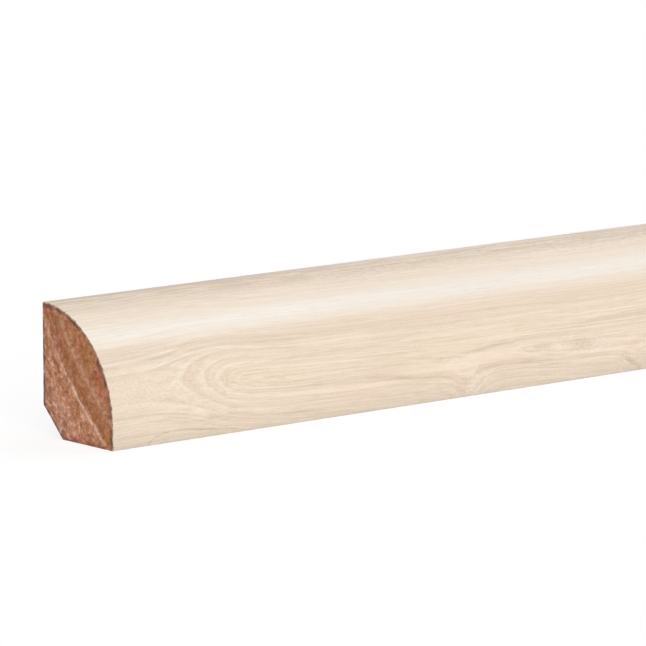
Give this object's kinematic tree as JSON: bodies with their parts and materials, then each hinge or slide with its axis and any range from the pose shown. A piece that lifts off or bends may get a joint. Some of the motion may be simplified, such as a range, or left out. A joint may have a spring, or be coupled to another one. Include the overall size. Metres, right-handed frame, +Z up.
{
  "type": "quarter round moulding",
  "caption": "Quarter round trim strip: a timber bar with a bevelled back corner and a pale oak veneer on its round face, laid along the foot of a wall to cover the floor's edge.",
  "frame": {"origin": "on the floor, under the middle of the bar: the bottom centre of its bounding box", "axes": "+X along the bar, +Y out of the wall face towards the wall, +Z up from the floor; the round face looks along -Y and up"},
  "size_m": [2.3876, 0.0158, 0.019],
  "materials": {
    "core_timber": "raw sawn and planed, dull",
    "oak_veneer": "satin lacquer"
  },
  "bodies": {
    "root": {"core_bar": "core_timber", "face_veneer": "oak_veneer"}
  },
  "joints": []
}
